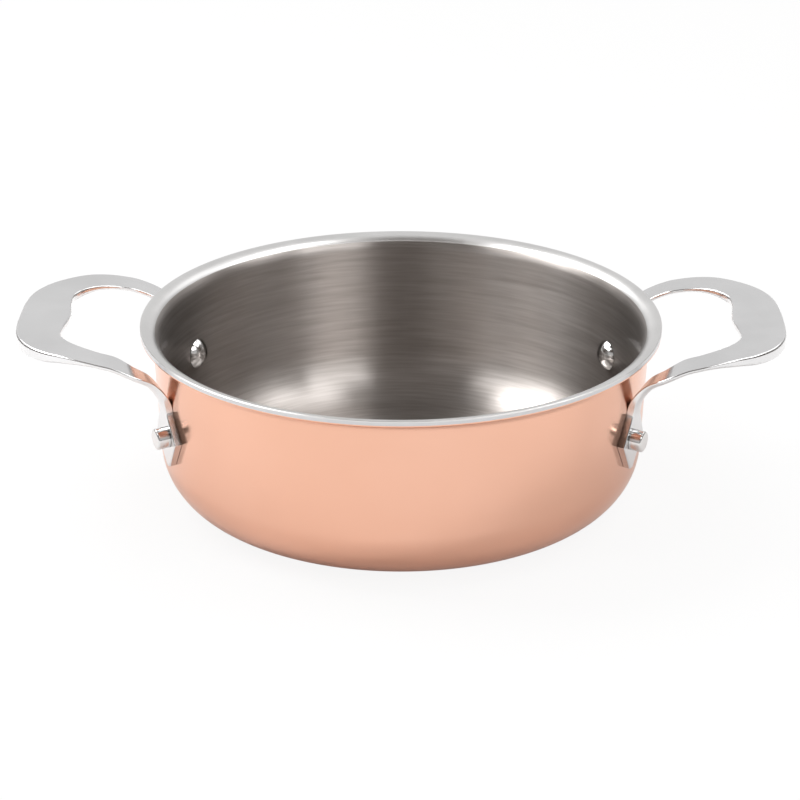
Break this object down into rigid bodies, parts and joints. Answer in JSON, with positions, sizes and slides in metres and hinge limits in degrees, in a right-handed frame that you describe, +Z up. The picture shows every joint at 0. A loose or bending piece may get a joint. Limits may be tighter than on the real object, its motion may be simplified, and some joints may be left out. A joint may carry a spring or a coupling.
{
  "type": "shallow saucepan",
  "caption": "Shallow copper cooking pan with a brushed steel inside, a flared pouring lip and riveted cast loop handles on opposite sides.",
  "frame": {"origin": "on the pan's axis, at the underside of its base", "axes": "+X along the line of the two handles towards the right one, +Y towards the rear rivets, +Z up out of the pan's mouth"},
  "size_m": [0.2554, 0.174, 0.0625],
  "materials": {
    "copper": "polished copper, faintly scuffed",
    "core_aluminium": "cut edge",
    "liner_steel": "brushed round the pan",
    "handle_steel": "cast and polished",
    "rivet_steel": "polished"
  },
  "bodies": {
    "root": {"copper_shell": "copper", "aluminium_core": "core_aluminium", "steel_liner": "liner_steel", "left_handle": "handle_steel", "right_handle": "handle_steel", "left_front_rivet": "rivet_steel", "left_rear_rivet": "rivet_steel", "right_front_rivet": "rivet_steel", "right_rear_rivet": "rivet_steel"}
  },
  "joints": []
}
